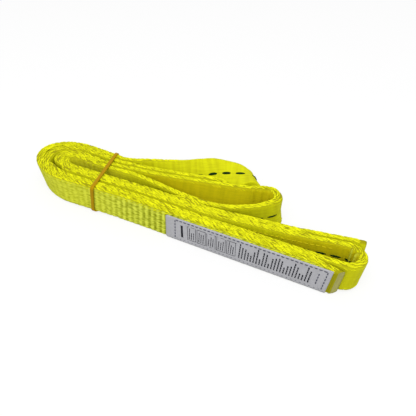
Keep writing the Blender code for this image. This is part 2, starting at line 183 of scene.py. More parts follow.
# Ribs of the front ply: full up to RIBS_FULL from its cut end, and shallow beyond RIBS_LOW
RIBS_FULL = 145.0
RIBS_LOW = 220.0
RIBS_LEAST = 0.4
RIBS_CLEAR = 6.0
RIB_SKEW = 2.3
RIB_UNEVEN = 0.35
RIB_WANDER = 0.6
RIB_WANDER_LENGTHS = (9.0, 23.4)
BACK_RIBS = 0.25
EDGE_SCALLOP = 0.7
# Ribs that show on the far wall inside the innermost fold: the middle distance and the half length
INNER_RIBS = (1570.0, 30.0)
INNER_DEPTH = 0.8
INNER_PALE = 0.35
# Wrinkles pressed into the inside of the middle loop and the middle eye, by distance along the strap
LOOP_WRINKLES = (953.5, 945.0)
EYE_WRINKLES = (1379.0, 1385.0, 1391.5)
WRINKLE_HALF_WIDTH = 1.3
WRINKLE_RISE = 1.8

# Cut ends: both are sealed, and the one beside the label is cut back at its foot and its front edge
SEALED_END = 1.2
SEALED_SHRINK = 0.84
SEAL_RIM = 0.8
SEAL_DOME = 0.25
END_SKEW = 2.2
END_SLANT = 4.5
END_CORNER = 3.0
END_CORNER_POWER = 8
END_REACH = 1.8
END_SKEW_LENGTH = 14.0

# Painted shade on the faces out of the light inside the middle eye and the loop, from and to
PAINTED_SHADE_EYE = (1284.0, 1560.0)
PAINTED_SHADE_LOOP = (880.0, 1010.0)
PAINTED_SHADE_FADE = 20.0
# Painted shadow of the cut end on the loop's outer face beside it: from, most and to
END_SHADOW_LOOP = (880.0, 915.0, 945.0)
END_SHADOW_MOST = 0.5
# Darker cloth at the first cut end: none from the first distance on, and full up to the second
END_DARKER = (9.0, 3.0)
# Shares of the turn round an edge over which the colour between the selvage yarns, a painted shade, comes in
EDGE_TURN = (0.25, 0.75)

# Weave, as sizes along and across the strap: streaks of warp, faint bands of weft and the ribs' short floats
# The streaks and floats are coarser than the real yarns so that they show
WARP_STREAK = (14.29, 0.909)
WEFT_BAND = (3.03, 30.3)
RIB_FLOAT = (5.0, 1.389)

# Braided yarns of the selvages: rows, as start and end shares of the half thickness, and how late they start
SELVAGE_ROWS = ((0.95, 0.4, 0.0), (0.3, -0.3, 0.5), (-0.4, -0.95, 0.0))
SELVAGE_POINTS = 5
SELVAGE_RUN = 4.6
SELVAGE_START = 2.0
# Both edges of the back eye's tip are pulled smooth
SELVAGE_SMOOTH = (400.0, 490.0)
SELVAGE_INSET = 0.5
SELVAGE_MISSING = 0.06
SELVAGE_JITTER = 0.3
SELVAGE_UNEVEN = 0.3
SELVAGE_SINK = 0.25
SELVAGE_TAPER = 0.6
# The row of yarns beside the edge on a free face, from and to below the edge
FACE_ROW = (1.2, 3.4)
FACE_LATE = 0.25
FACE_SINK = 0.75
# The row that hides a sewn pair's seam
SEAM_EDGE = 0.6
SEAM_SLANT = 1.6
SEAM_DROP = 0.1

# Tracer yarn: first and last distance, one dash's middle, the spacing, how far off the mid-line, and girth
TRACER_RUNS = (
    (20.0, 600.0, 445.2, 11.7, 0.0, 1.35),
    (600.0, 1200.0, 964.4, 10.0, -1.0, 1.0),
    (1200.0, 1396.0, 1413.2, 10.6, 0.0, 0.85),
    (1408.0, 1830.0, 1413.2, 10.6, 0.0, 0.85),
)
TRACER_POINTS = 5
TRACER_SINK = 0.3
TRACER_TAPER = 0.45

# Label, sewn to the front ply beside its cut end
LABEL_START_X = 7.0
LABEL_LENGTH = 123.5
LABEL_WIDTH = 22.0
LABEL_FACE_Y = -0.8
LABEL_THICKNESS = 0.55
LABEL_BASE = 1.0
LABEL_CORNER = 0.5
LABEL_SKEW = (1.0, 2.2)
LABEL_WAVE = 0.05
LABEL_WAVE_LENGTH = 4.7
# The direction that its faces are counted in
FACE_ORDER = Vector((1.0, 0.1, 0.01))
# Its weave, coarser than the real one so that it shows, and its cloudy patches
LABEL_WEAVE = 0.8
LABEL_PATCH = 8.33

# Print: a bar as x, z, length and height, a row of framed boxes with lines inside, and columns of lines
PRINT_RISE = 0.04
PRINT_MARGIN = 4.4
PRINT_BAR = (14.0, 10.5, 2.2, 12.0)
BOXES_X = (18.5, 58.0)
BOX_PITCH = 7.9
BOX_GAP = 1.2
BOX_LINE = 0.35
BOX_INSET = (1.6, 0.8)
BOX_LINE_PITCH = 1.7
BOX_LINE_WIDTH = 0.6
BOX_FILL = (0.5, 0.95)
LINES_X = (60.0, 111.0)
LINE_WIDTH = 0.95
LINE_FILLS = (0.35, 0.6, 0.8, 1.0)
WORD_LENGTH = (1.0, 2.4)
WORD_GAP = 0.35

# Stitches
STITCH_LENGTH = 4.0
STITCH_SHOWN = 0.62
STITCH_POINTS = 5
STITCH_CROWN = 0.3
LABEL_STITCH = 3.2
LABEL_SEAM_START = 8.0
LABEL_SEAM_END = 3.0
LABEL_SEAM_MARGIN = 1.8
LABEL_END_ROW = 7.8
LABEL_END_MARGIN = 3.5
SHALLOW_ROW = 0.15
DEEP_ROW = 0.5
LAP_ROW_HEIGHT = 7.5
LAP_FACES = (("front_body", 50.0, 124.0), ("back_body", 60.0, 124.0), ("back_lap", 78.0, 138.0))

# Rubber band, and the lift that it gives the bundle, of which the squeezed edges give back BAND_SQUEEZE
BAND_X = -63.5
BAND_SKEW = 5.5
BAND_THICKNESS = 0.9
BAND_EDGE = 0.35
BAND_EDGE_STEPS = 3
BAND_FLAT_STEPS = 2
BAND_CLEARANCE = 0.35
BAND_CORNER = 2.2
BAND_CORNER_STEPS = 10
BAND_SIDE_STEPS = 24
BAND_LIFT = 1.3
BAND_LIFT_REACH = 45.0
BAND_SQUEEZE = 0.9
BAND_FALL = 4.0
BAND_FALL_POWER = 8
BAND_SWELL = 0.06
BAND_SWELL_LENGTH = 5.0

# One-colour materials: roughness, size of the grain, and the darkest and lightest shade of the colour
FINISHES = {
    # Loosely twisted yarns, dull and each of its own shade
    "polyester selvage yarn": (0.7, 1.5, (0.7, 1.14)),
    # A dyed yarn, drawn tight
    "polyester tracer yarn": (0.6, 1.5, (0.85, 1.1)),
    # Cut yarns melted together, with a slight gloss
    "heat-sealed polyester": (0.4, 2.0, (0.85, 1.1)),
    # Sewing threads, dull and finely twisted
    "polyester label thread": (0.6, 1.0, (0.85, 1.1)),
    "polyester body thread": (0.6, 1.0, (0.85, 1.1)),
    # Ink sunk into cloth, dull and slightly uneven
    "printing ink": (0.6, 1.0, (0.85, 1.1)),
    # Smooth rubber with a soft sheen and cloudy patches
    "natural rubber": (0.4, 4.0, (0.85, 1.1)),
}

# Stage, in metres, and the camera in the sketch
FLOOR_RADIUS = 3.0
FLOOR_SEGMENTS = 64
FLOOR_WHITE = 0.62
FLOOR_GLOW = 1.25
LAMP_SIZE = 1.2
LAMP_PLACE = (0.2, -0.6, 1.0)
CAMERA_PLACE = (138.3, -196.0, 232.1)
CAMERA_TURN = (49.0, 0.0, 26.35)
CAMERA_LENS = 37.2


def ramp(value, start, end):
    """A smooth rise from 0 at the start to 1 at the end."""
    t = np.clip((value - start) / (end - start), 0.0, 1.0)
    return t * t * (3.0 - 2.0 * t)


def bell(distance, middle, length):
    """A smooth rise to 1 at the middle and down again."""
    return np.exp(-((distance - middle) / length) ** 2)


def blend(first, last, share):
    """The value that lies this share of the way from the first to the last."""
    return first + (last - first) * share


def unit(vectors):
    """These vectors at length 1."""
    return vectors / np.linalg.norm(vectors, axis=-1, keepdims=True)


def travelled(points):
    """How far each point is from the first, along the points."""
    return np.append(0.0, np.cumsum(np.linalg.norm(np.diff(points, axis=0), axis=1)))


def headings(line):
    """Directions of travel along rows that start with x and y."""
    return unit(np.gradient(line[:, :2], axis=0))


def ply_spacing(x):
    """Spacing of neighbouring plies, wider in the nested folds, where the lean brings their faces nearer."""
    return blend(PLY_PITCH, FOLD_PITCH, ramp(x, EVEN_PITCH_X, FOLD_X))


def front_run(ply, x):
    """How far back a ply of the front run is at x, where ply 0 is the outermost."""
    return blend(FOLD_FRONT_Y, STRAIGHT_Y, ramp(x, FOLD_X, STRAIGHT_X)) + ply * ply_spacing(x)


def back_run(ply, x):
    """The same for the back run."""
    return blend(FOLD_BACK_Y, WAIST_BACK_Y, ramp(x, FOLD_X, WAIST_X)) - ply * ply_spacing(x)


def nest_lean(x):
    """The folds flare: their top edge leans out, most at the tip of the outermost fold."""
    return FOLD_LEAN * ramp(x, FOLD_LEAN_START_X, FOLD_X - FOLD_REACH[0])


def half_turn(centre, reach, radius, steps):
    """Half an ellipse from front to back, as x, y and how near each point is to the tip."""
    turn = [(math.cos(angle), math.sin(angle)) for angle in np.linspace(-math.pi / 2, math.pi / 2, steps)]
    return [(centre[0] + reach * near, centre[1] + radius * back, near) for near, back in turn]


def nested_fold(ply):
    """The turn round the left end of the bundle, from the front run to the back run."""
    reach = FOLD_REACH[ply]
    front, back = front_run(ply, FOLD_X), back_run(ply, FOLD_X)
    skew = FOLD_SKEW * reach / FOLD_REACH[0]
    turn = half_turn((FOLD_X, (front + back) / 2), -reach, (back - front) / 2, FOLD_STEPS)
    return [(x, y + skew * near, nest_lean(x)) for x, y, near in turn]


def nest(ply):
    """A ply from the straight front run, round its fold, to the waist of the back run."""
    front = [(x, front_run(ply, x), nest_lean(x)) for x in reversed(NEST_RUN_X + FRONT_RUN_X)]
    back = [(x, back_run(ply, x), nest_lean(x)) for x in NEST_RUN_X]
    return front + nested_fold(ply) + back


def beside(points, distance):
    """The line at a steady distance to the left of these points."""
    line = np.array(points)
    along = headings(line)
    line[:, 0] -= distance * along[:, 1]
    line[:, 1] += distance * along[:, 0]
    return [tuple(row) for row in line]


def reverse(points):
    """The same stretch travelled the other way, so that left and right change places."""
    return [(x, y, -lean) for x, y, lean in reversed(points)]


def front_loop():
    """The turn at mid-length, from the second ply to the third."""
    radius = LOOP_CENTRE[1] - front_run(1, LABEL_RUN_X[0])
    turn = half_turn(LOOP_CENTRE, radius, radius, LOOP_STEPS)
    return [(x, y, -LOOP_LEAN * near ** 2) for x, y, near in turn]


def band_lift(x):
    """The bundle stands off the floor where the band passes beneath it."""
    reach = np.clip((x - BAND_X) / BAND_LIFT_REACH, -1.0, 1.0)
    return BAND_LIFT * (1.0 - reach ** 2) ** 2


def standing(points, upright):
    """Rows of centre and width direction for a stretch that stands on its edge, from x, y and lean."""
    line = np.array(points)
    along = headings(line)
    sine = line[:, 2] / (WEB_WIDTH / 2)
    cosine = np.sqrt(1.0 - sine ** 2)
    lift = (1.0 - BAND_SQUEEZE / 2) * band_lift(line[:, 0])
    height = lift + WEB_WIDTH / 2 * cosine + WEB_THICKNESS / 2 * np.abs(sine)
    width = np.column_stack((-along[:, 1] * sine, along[:, 0] * sine, cosine))
    return np.column_stack((line[:, :2], height, upright * width))


def eye_1_tip():
    """The strap lies flat at eye 1's tip and winds down round a level axis, a little askew."""
    axis = np.array((math.cos(EYE_1_TIP_AXIS), math.sin(EYE_1_TIP_AXIS), 0.0))
    ahead = np.array((axis[1], -axis[0], 0.0))
    down = np.array((0.0, 0.0, -1.0))
    rows = []
    for angle in np.linspace(0.0, math.pi, EYE_1_TIP_STEPS):
        turned = math.sin(angle) * ahead + (1.0 - math.cos(angle)) * down - EYE_1_TIP_SLOPE * angle * axis
        heading = math.cos(angle) * ahead + math.sin(angle) * down
        centre = EYE_1_TIP_START + EYE_1_TIP_RADIUS * turned
        rows.append((*centre, *unit(axis + EYE_1_TIP_SLOPE * heading)))
    return rows


def strap_stretches():
    """The strap from one cut end to the other, as named stretches of rows of centre and width direction."""
    label_run = [(x, front_run(0, x), 0.0) for x in reversed(LABEL_RUN_X)]
    loop_front = [(x, front_run(1, x), 0.0) for x in reversed(LABEL_RUN_X)]
    opening = [(x, front_run(2, x) + off, 0.0) for x, off in LOOP_OPENING]
    lap = beside(opening, PLY_PITCH)[::-1]
    eye_1_front = beside(EYE_2_BACK[:SHARED_POINTS], EYE_PITCH)
    front_lap = [(END_1_X, front_run(0, END_1_X), 0.0)] + label_run + nest(0)
    back_lap = [(END_2_X, lap[0][1] + END_2_RISE, 0.0)] + lap + nest(3)
    eye_1 = (
        standing(EYE_1_BACK, 1), EYE_1_OVER, eye_1_tip(), EYE_1_UNDER, standing(reverse(eye_1_front), -1)
    )
    return (
        ("front_lap", standing(front_lap, 1)),
        ("eye_1", np.vstack(eye_1)),
        ("front_body", standing(reverse(loop_front + nest(1)), -1)),
        ("loop", standing(front_loop(), -1)),
        ("back_body", standing(opening[::-1] + nest(2), -1)),
        ("eye_2", standing(list(EYE_2_BACK + EYE_2_TIP) + reverse(EYE_2_FRONT), -1)),
        ("back_lap", standing(reverse(back_lap), -1)),
    )


def smooth_curve(points):
    """Centripetal Catmull-Rom curve through the points, finely sampled."""
    ends = np.vstack([2 * points[0] - points[1], points, 2 * points[-1] - points[-2]])
    samples = []
    for start in range(len(points) - 1):
        p = ends[start:start + 4]
        chords = np.linalg.norm(np.diff(p[:, :3], axis=0), axis=1)
        knot = np.append(0.0, np.cumsum(np.sqrt(chords)))
        t = np.linspace(knot[1], knot[2], CURVE_SAMPLES, endpoint=False)[:, None]

        def between(first, second, low, high):
            return ((high - t) * first + (t - low) * second) / (high - low)

        outer = [between(p[i], p[i + 1], knot[i], knot[i + 1]) for i in range(3)]
        inner = [between(outer[i], outer[i + 1], knot[i], knot[i + 2]) for i in range(2)]
        samples.append(between(inner[0], inner[1], knot[1], knot[2]))
    return np.vstack(samples + [points[-1:]])


class Strap:
    """The strap's route, read by distance from the first cut end."""

    def __init__(self):
        stretches = strap_stretches()
        names = [name for name, rows in stretches for _ in rows]
        self.curve = smooth_curve(np.vstack([rows for _, rows in stretches]))
        self.names = np.repeat(names, CURVE_SAMPLES)[:len(self.curve)]
        self.distance = travelled(self.curve[:, :3])
        self.length = self.distance[-1]
        self.reach = np.full((len(self.curve), 2), WEB_THICKNESS / 2)
        self.edge = np.full((len(self.curve), 2), FREE_EDGE)
        for name, other, face in SEWN_FACES:
            self.close_pair(name, other, face)
        for name, other, face in FACING_FACES:
            self.swell_fold(name, other, face)
        for middle, length, face, rise in BUNCHES:
            self.reach[:, face] += rise * bell(self.distance, middle, length)
        upright = np.abs(self.curve[:, 5]) * band_lift(self.curve[:, 0])
        self.half_width = WEB_WIDTH / 2 - BAND_SQUEEZE / 2 * upright

    def gaps(self, name, other):
        """The named stretch's samples, and the clear gap from each to the other stretch."""
        own = np.flatnonzero(self.names == name)
        there = self.curve[self.names == other, :3]
        apart = self.curve[own, None, :3] - there[None]
        return own, np.linalg.norm(apart, axis=2).min(axis=1) - WEB_THICKNESS

    def close_pair(self, name, other, face):
        """Plies that are sewn together touch, so the sewn face comes forward to half the gap."""
        own, gap = self.gaps(name, other)
        x, y = self.curve[own, 0], self.curve[own, 1]
        sewn = ramp(x, *SEWN_END_X) * np.where(y < FRONT_SIDE_Y, 1.0, ramp(x, *SEWN_WAIST_X))
        self.reach[own, face] += sewn * np.clip(gap / 2 - SEWN_LINE, 0.0, FILL_MOST)
        self.edge[own, face] += sewn * (SEWN_EDGE - FREE_EDGE)

    def swell_fold(self, name, other, face):
        """Round the nested folds the two pairs press together, but for a hole at the tip."""
        own, gap = self.gaps(name, other)
        x, distance = self.curve[own, 0], self.distance[own]
        folded = ramp(x, *SWELL_X)
        frontward = SWELL_HOLE_SHIFT * np.sign(self.curve[own[0], 1] - self.curve[own[-1], 1])
        hole = bell(distance, distance[x.argmin()] + frontward, SWELL_HOLE_LENGTH)
        wanted = SWELL_GAP + SWELL_HOLE * hole
        self.reach[own, face] += folded * np.clip((gap - wanted) / 2, -SWELL_CUT, FILL_MOST)
        self.reach[own, face] -= PAIR_LINE * (1.0 - folded) * ramp(gap, *PAIR_CLOSE)
        self.edge[own, face] += folded * (SWELL_EDGE - FREE_EDGE)

    def read(self, table, distance):
        """The table's columns at these distances."""
        return np.column_stack([np.interp(distance, self.distance, column) for column in table.T])

    def outline(self, distance):
        """How far the two faces stand off the mid-line, and the radii of their edges: back, then front."""
        return self.read(self.reach, distance), self.read(self.edge, distance)

    def half(self, distance):
        """Half the width, less where the band squeezes the edges."""
        return np.interp(distance, self.distance, self.half_width)

    def edge_draw(self, distance, side):
        """How far one edge is drawn out."""
        draws = [(middle, length, far) for edge, middle, length, far in EDGE_DRAWS if edge == side]
        return sum(far * bell(distance, middle, length) for middle, length, far in draws)

    def edge_height(self, distance, through_by, side):
        """How far this edge stands off the mid-line, at each distance and depth through the strap."""
        reach, edge = self.outline(distance)
        drop = -self.edge_draw(distance, side)
        for face, sign in FACES:
            past = np.clip(sign * through_by - reach[:, face] + edge[:, face], 0.0, edge[:, face])
            drop += edge[:, face] - np.sqrt(edge[:, face] ** 2 - past ** 2)
        return self.half(distance) - drop

    def find(self, name, x):
        """The distance at which the named stretch passes x."""
        own = np.flatnonzero(self.names == name)
        return self.distance[own[np.abs(self.curve[own, 0] - x).argmin()]]

    def frames(self, distance):
        """Centre, direction through the thickness and direction across the width, at these distances."""
        inside = np.clip(distance, 0.0, self.length)
        rows = self.read(self.curve, inside)
        ahead, behind = [self.read(self.curve, inside + off) for off in (TANGENT_REACH, -TANGENT_REACH)]
        along = unit(ahead[:, :3] - behind[:, :3])
        width = rows[:, 3:]
        across = unit(width - (width * along).sum(axis=1)[:, None] * along)
        through = np.cross(across, along)
        half_height = WEB_WIDTH / 2 * np.abs(across[:, 2]) + WEB_THICKNESS / 2 * np.abs(through[:, 2])
        centre = rows[:, :3] - BUNDLE_CENTRE + (distance - inside)[:, None] * along
        centre[:, 2] = np.maximum(centre[:, 2], half_height)
        return centre, through, across

    def at(self, distance, through_by, across_by):
        """Points off the strap's mid-line, in metres, one for each distance."""
        shape = np.shape(distance)
        centre, through, across = self.frames(np.ravel(distance))
        place = centre + np.ravel(through_by)[:, None] * through + np.ravel(across_by)[:, None] * across
        place[:, 2] = np.maximum(place[:, 2], FLOOR_CLEAR)
        return place.reshape(*shape, 3) * MM


STRAP = Strap()


def colour(code):
    """Linear colour of an sRGB hex code."""
    parts = [int(code[i:i + 2], 16) / 255 for i in (1, 3, 5)]
    return [part / 12.92 if part <= 0.04045 else ((part + 0.055) / 1.055) ** 2.4 for part in parts] + [1.0]


def paint(name, code, description):
    """A colour for the user to change."""
    return FloatVectorProperty(
        name=name, description=description, subtype="COLOR", size=4, default=colour(code), min=0.0, max=1.0
    )


def size(name, default, least, most, description):
    """A size for the user to change, from millimetres."""
    return FloatProperty(
        name=name, description=description, unit="LENGTH", default=default * MM, min=least * MM, max=most * MM
    )


class WebbingSettings(bpy.types.PropertyGroup):
    """Sizes and colours of the webbing."""

    yellow: paint("Webbing", "#D2D410", "Colour of the webbing's yarns")
    deep: paint("Hollows", "#AEAA08", "Colour between the yarns")
    # Painted shade between the selvage yarns, on the strap's edges beneath them
    gaps: paint("Selvage gaps", "#98940A", "Colour between the selvage yarns")
    # Painted shade: the colour that faces out of the light take inside the eyes, the loop and the folds
    painted_shade_tone: paint("Sheltered", "#CDC20C", "Colour out of the light, inside the eyes, the loop and the folds")
    # Rib colours, mixed by the ribs' depth and their floats: partly the weave, partly a painted highlight on the
    # crests and painted shade in the hollows
    crest: paint("Rib crests", "#DAE24A", "Colour of the front ply's ribs")
    valley: paint("Rib hollows", "#848C00", "Colour between the front ply's ribs")
    pale: paint("Selvage", "#DDDE14", "Colour of the selvage yarns")
    sealed: paint("Sealed end", "#AFAC60", "Colour of the melted cut ends")
    tracer: paint("Tracer", "#0A2E0A", "Colour of the tracer yarn")
    rib_pitch: size("Rib pitch", 5.07, 1.0, 10.0, "Spacing of the ribs along the webbing")
    rib_depth: size("Rib depth", 0.5, 0.0, 1.0, "Depth of the hollows between ribs")
    selvage_pitch: size("Selvage pitch", 3.1, 1.0, 10.0, "Spacing of the yarns over the selvages")
    selvage_radius: size("Selvage yarn", 0.75, 0.1, 2.0, "Radius of a yarn over the selvages")
    tracer_length: size("Tracer dash", 7.2, 1.0, 10.0, "Length of a dash of tracer yarn")
    tracer_radius: size("Tracer yarn", 0.95, 0.1, 2.0, "Radius of the tracer yarn")


class LabelSettings(bpy.types.PropertyGroup):
    """Colours and sizes of the label and the sewing threads."""

    cloth: paint("Label", "#AEAEB2", "Colour of the label's cloth")
    ink: paint("Print", "#2A2B33", "Colour of the printed lines")
    thread: paint("Label thread", "#4A4B5A", "Colour of the label's thread")
    body_thread: paint("Body thread", "#C2B810", "Colour of the body stitching")
    thread_radius: size("Thread", 0.35, 0.1, 1.0, "Radius of the sewing threads")
    line_pitch: size("Line pitch", 2.2, 1.0, 10.0, "Spacing of the printed lines")


class BandSettings(bpy.types.PropertyGroup):
    """Size and colour of the rubber band."""

    width: size("Band width", 3.0, 1.0, 10.0, "Width of the rubber band")
    amber: paint("Rubber", "#B48C00", "Colour of the rubber")


class StageSettings(bpy.types.PropertyGroup):
    """The floor and its light."""

    floor: paint("Floor", "#C0C0C0", "Colour of the floor")
    backdrop: paint("Backdrop", "#FFFFFF", "Colour that the camera sees round the object")
    sky: FloatProperty(
        name="Sky", description="Strength of the light from all round", default=0.78, min=0.0, max=2.0,
    )
    lamp: FloatProperty(
        name="Lamp", description="Power of the overhead lamp", unit="POWER", default=10.0, min=0.0, max=100.0,
    )


def set_inputs(tree, node, inputs):
    """Sets a node's inputs to constants, or links them to other nodes' outputs."""
    for name, value in inputs.items():
        if isinstance(value, bpy.types.NodeSocket):
            tree.links.new(value, node.inputs[name])
        else:
            node.inputs[name].default_value = value


def add_node(tree, kind, inputs, output=None, **settings):
    """Adds a node with its settings and links, and returns the named output or else its first one in use."""
    made = tree.nodes.new(kind)
    for name, value in settings.items():
        setattr(made, name, value)
    set_inputs(tree, made, inputs)
    return made.outputs[output] if output else next(socket for socket in made.outputs if socket.enabled)


def new_material(name):
    """An empty node material, its tree and its shader."""
    made = bpy.data.materials.new(name)
    made.use_nodes = True
    return made, made.node_tree, made.node_tree.nodes["Principled BSDF"]


def webbing_material(settings):
    """Woven polyester: smooth bright faces with faint bands, and pale ribs with short floats in front."""
    made, tree, shader = new_material("woven polyester webbing")
    place = add_node(tree, "ShaderNodeUVMap", {}, uv_map="strap")
    relief, ribbing, painted_shade, selvage = [
        add_node(tree, "ShaderNodeAttribute", {}, "Fac", attribute_name=name)
        for name in ("relief", "ribbing", "painted_shade", "selvage")
    ]
    patterns = []
    for (along, across), detail in ((WARP_STREAK, 2.0), (WEFT_BAND, 1.0), (RIB_FLOAT, 1.0)):
        scale = (1.0 / (along * MM), 1.0 / (across * MM), 1.0)
        drawn = add_node(tree, "ShaderNodeMapping", {"Vector": place, "Scale": scale})
        inputs = {"Vector": drawn, "Scale": 1.0, "Detail": detail}
        patterns.append(add_node(tree, "ShaderNodeTexNoise", inputs, noise_dimensions="2D"))
    streaks, bands, floats = patterns
    weave = add_node(tree, "ShaderNodeMath", {0: streaks, 1: bands}, operation="ADD")
    shown = add_node(
        tree, "ShaderNodeMapRange",
        {"Value": weave, "From Min": 0.5, "From Max": 1.3, "To Min": 0.3, "To Max": 1.0},
    )
    # The ribs' depth lightens the crests and darkens the hollows, a painted highlight and painted shade, broken
    # by the floats
    marked = add_node(tree, "ShaderNodeMath", {0: floats, 1: 2.2, 2: relief}, operation="MULTIPLY_ADD")
    crest = add_node(tree, "ShaderNodeMapRange", {"Value": marked, "From Min": 0.95, "From Max": 2.3})
    plain, painted_shade_tone, ribs = [
        add_node(tree, "ShaderNodeMix", {"Factor": amount, "A": low, "B": high}, data_type="RGBA")
        for amount, low, high in (
            (shown, settings.deep, settings.yellow), (shown, settings.deep, settings.painted_shade_tone),
            (crest, settings.valley, settings.crest),
        )
    ]
    # Over the plain colour go, in turn: painted shade inside the turns, the ribs' colours with painted shade and
    # highlight, and the painted shade between the selvage yarns
    surface = plain
    for amount, over in ((painted_shade, painted_shade_tone), (ribbing, ribs), (selvage, settings.gaps)):
        surface = add_node(
            tree, "ShaderNodeMix", {"Factor": amount, "A": surface, "B": over}, data_type="RGBA"
        )
    raised = add_node(tree, "ShaderNodeMath", {0: floats, 1: ribbing}, operation="MULTIPLY")
    height = add_node(tree, "ShaderNodeMath", {0: raised, 1: 2.0, 2: weave}, operation="MULTIPLY_ADD")
    bump = add_node(tree, "ShaderNodeBump", {"Height": height, "Strength": 0.4, "Distance": 0.25 * MM})
    set_inputs(
        tree, shader, {"Base Color": surface, "Normal": bump, "Roughness": 0.75, "Specular IOR Level": 0.08}
    )
    return made


def speckle(tree, shader, base, patterns, seen, shades, strength):
    """Shades the base colour by the sum of two patterns, and raises the first as a fine grain."""
    both = add_node(tree, "ShaderNodeMath", dict(enumerate(patterns)), operation="ADD")
    shade = add_node(
        tree, "ShaderNodeMapRange",
        {"Value": both, "From Min": seen[0], "From Max": seen[1], "To Min": shades[0], "To Max": shades[1]},
    )
    tint = add_node(
        tree, "ShaderNodeMix", {"Factor": 1.0, "A": base, "B": shade}, data_type="RGBA", blend_type="MULTIPLY"
    )
    bump = add_node(
        tree, "ShaderNodeBump", {"Height": patterns[0], "Strength": strength, "Distance": 0.1 * MM}
    )
    set_inputs(tree, shader, {"Base Color": tint, "Normal": bump})


def plain_material(name, base):
    """One colour, a little lighter or darker from yarn to yarn, with a fine grain."""
    roughness, grain, shades = FINISHES[name]
    made, tree, shader = new_material(name)
    place = add_node(tree, "ShaderNodeTexCoord", {}, "Object")
    own = add_node(tree, "ShaderNodeAttribute", {}, "Fac", attribute_name="shade")
    noise = add_node(
        tree, "ShaderNodeTexNoise", {"Vector": place, "Scale": 1.0 / (grain * MM), "Detail": 2.0}
    )
    speckle(tree, shader, base, (noise, own), seen=(0.4, 1.6), shades=shades, strength=0.4)
    set_inputs(tree, shader, {"Roughness": roughness, "Specular IOR Level": 0.06})
    return made


def label_material(settings):
    """Woven label: a pale smooth cloth with a fine weave and faint patches."""
    made, tree, shader = new_material("woven label cloth")
    place = add_node(tree, "ShaderNodeTexCoord", {}, "Object")
    patterns = [
        add_node(
            tree, "ShaderNodeTexNoise", {"Vector": place, "Scale": 1.0 / (across * MM), "Detail": detail}
        )
        for across, detail in ((LABEL_WEAVE, 1.0), (LABEL_PATCH, 2.0))
    ]
    speckle(tree, shader, settings.cloth, patterns, seen=(0.6, 1.4), shades=(0.86, 1.08), strength=0.2)
    set_inputs(tree, shader, {"Roughness": 0.5})
    return made


def floor_material(settings):
    """Plain pale floor, mostly white to the camera, that keeps a soft shadow."""
    made, tree, shader = new_material("white floor")
    set_inputs(tree, shader, {"Base Color": settings.floor, "Roughness": 0.9, "Specular IOR Level": 0.0})
    ray = add_node(tree, "ShaderNodeLightPath", {}, "Is Camera Ray")
    part = add_node(tree, "ShaderNodeMath", {0: ray, 1: FLOOR_WHITE}, operation="MULTIPLY")
    white = add_node(tree, "ShaderNodeEmission", {"Color": settings.backdrop, "Strength": FLOOR_GLOW})
    mixed = add_node(tree, "ShaderNodeMixShader", {0: part, 1: shader.outputs["BSDF"], 2: white})
    set_inputs(tree, tree.nodes["Material Output"], {"Surface": mixed})
    return made


def link_object(name, data):
    """A new object in the scene."""
    obj = bpy.data.objects.new(name, data)
    bpy.context.scene.collection.objects.link(obj)
    return obj


def add_object(name, data, body, slot, *materials):
    """An object of these materials that rides on a body of the frame."""
    for finish in materials:
        data.materials.append(finish)
    obj = link_object(name, data)
    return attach(obj, body)


def wrap(name, points, uv, values):
    """A tube drawn over rows of points, each row a closed ring, with its long edges welded.

    The values are named numbers for each point, which the materials read.
    """
    rows, ring = points.shape[:2]
    bm = bmesh.new()
    bm.loops.layers.uv.new("strap")
    bmesh.ops.create_grid(bm, x_segments=rows - 1, y_segments=ring - 1, size=0.5)
    mesh = bpy.data.meshes.new(name)
    bm.to_mesh(mesh)
    bm.free()
    flat = np.empty(3 * len(mesh.vertices))
    mesh.vertices.foreach_get("co", flat)
    cell = np.rint((flat.reshape(-1, 3)[:, :2] + 0.5) * (rows - 1, ring - 1)).astype(int)
    mesh.vertices.foreach_set("co", points[cell[:, 0], cell[:, 1]].ravel())
    for kind, value in values.items():
        layer = mesh.attributes.new(kind, "FLOAT", "POINT")
        layer.data.foreach_set("value", value[cell[:, 0], cell[:, 1]])
    corner = np.empty(len(mesh.loops), int)
    mesh.loops.foreach_get("vertex_index", corner)
    mesh.uv_layers["strap"].uv.foreach_set("vector", uv[cell[corner, 0], cell[corner, 1]].ravel())
    bm = bmesh.new()
    bm.from_mesh(mesh)
    bmesh.ops.remove_doubles(bm, verts=bm.verts, dist=WELD)
    return mesh, bm


def close_mesh(mesh, bm):
    """Writes the finished faces, turned outwards, back into the mesh."""
    bmesh.ops.recalc_face_normals(bm, faces=bm.faces)
    bm.to_mesh(mesh)
    bm.free()
    mesh.shade_smooth()
    return mesh


def yarns(name, lines, radii, sizes=None, rounding=1):
    """A mesh of many short tapered yarns, one along each line of points, in metres."""
    curve = bpy.data.curves.new(name, "CURVE")
    curve.dimensions = "3D"
    curve.bevel_depth = 1.0
    curve.bevel_resolution = rounding
    curve.use_fill_caps = True
    for number, line in enumerate(lines):
        spline = curve.splines.new("POLY")
        spline.points.add(len(line) - 1)
        spline.points.foreach_set("co", np.column_stack((line, np.ones(len(line)))).ravel())
        spline.points.foreach_set("radius", radii if sizes is None else radii * sizes[number])
    holder = link_object(name, curve)
    mesh = bpy.data.meshes.new_from_object(holder.evaluated_get(bpy.context.evaluated_depsgraph_get()))
    bpy.data.objects.remove(holder)
    mesh.shade_smooth()
    shades = np.random.default_rng(SEED).uniform(0.0, 1.0, len(lines))
    layer = mesh.attributes.new("shade", "FLOAT", "POINT")
    layer.data.foreach_set("value", np.repeat(shades, len(mesh.vertices) // len(lines)))
    return mesh


def add_threads(name, lines, slot, radius, finish):
    """Stitches along these lines, of a round thread on the sling."""
    radii = np.full(STITCH_POINTS, radius)
    return add_object(name, yarns(name, lines, radii), "sling", slot, finish)


def stations():
    """Distances of the webbing mesh's rings."""
    ends = [start for start, _ in RING_STEPS[1:]] + [STRAP.length]
    rings = [
        np.linspace(start, end, math.ceil((end - start) / step), endpoint=False)
        for (start, step), end in zip(RING_STEPS, ends)
    ]
    return np.append(np.concatenate(rings), STRAP.length)


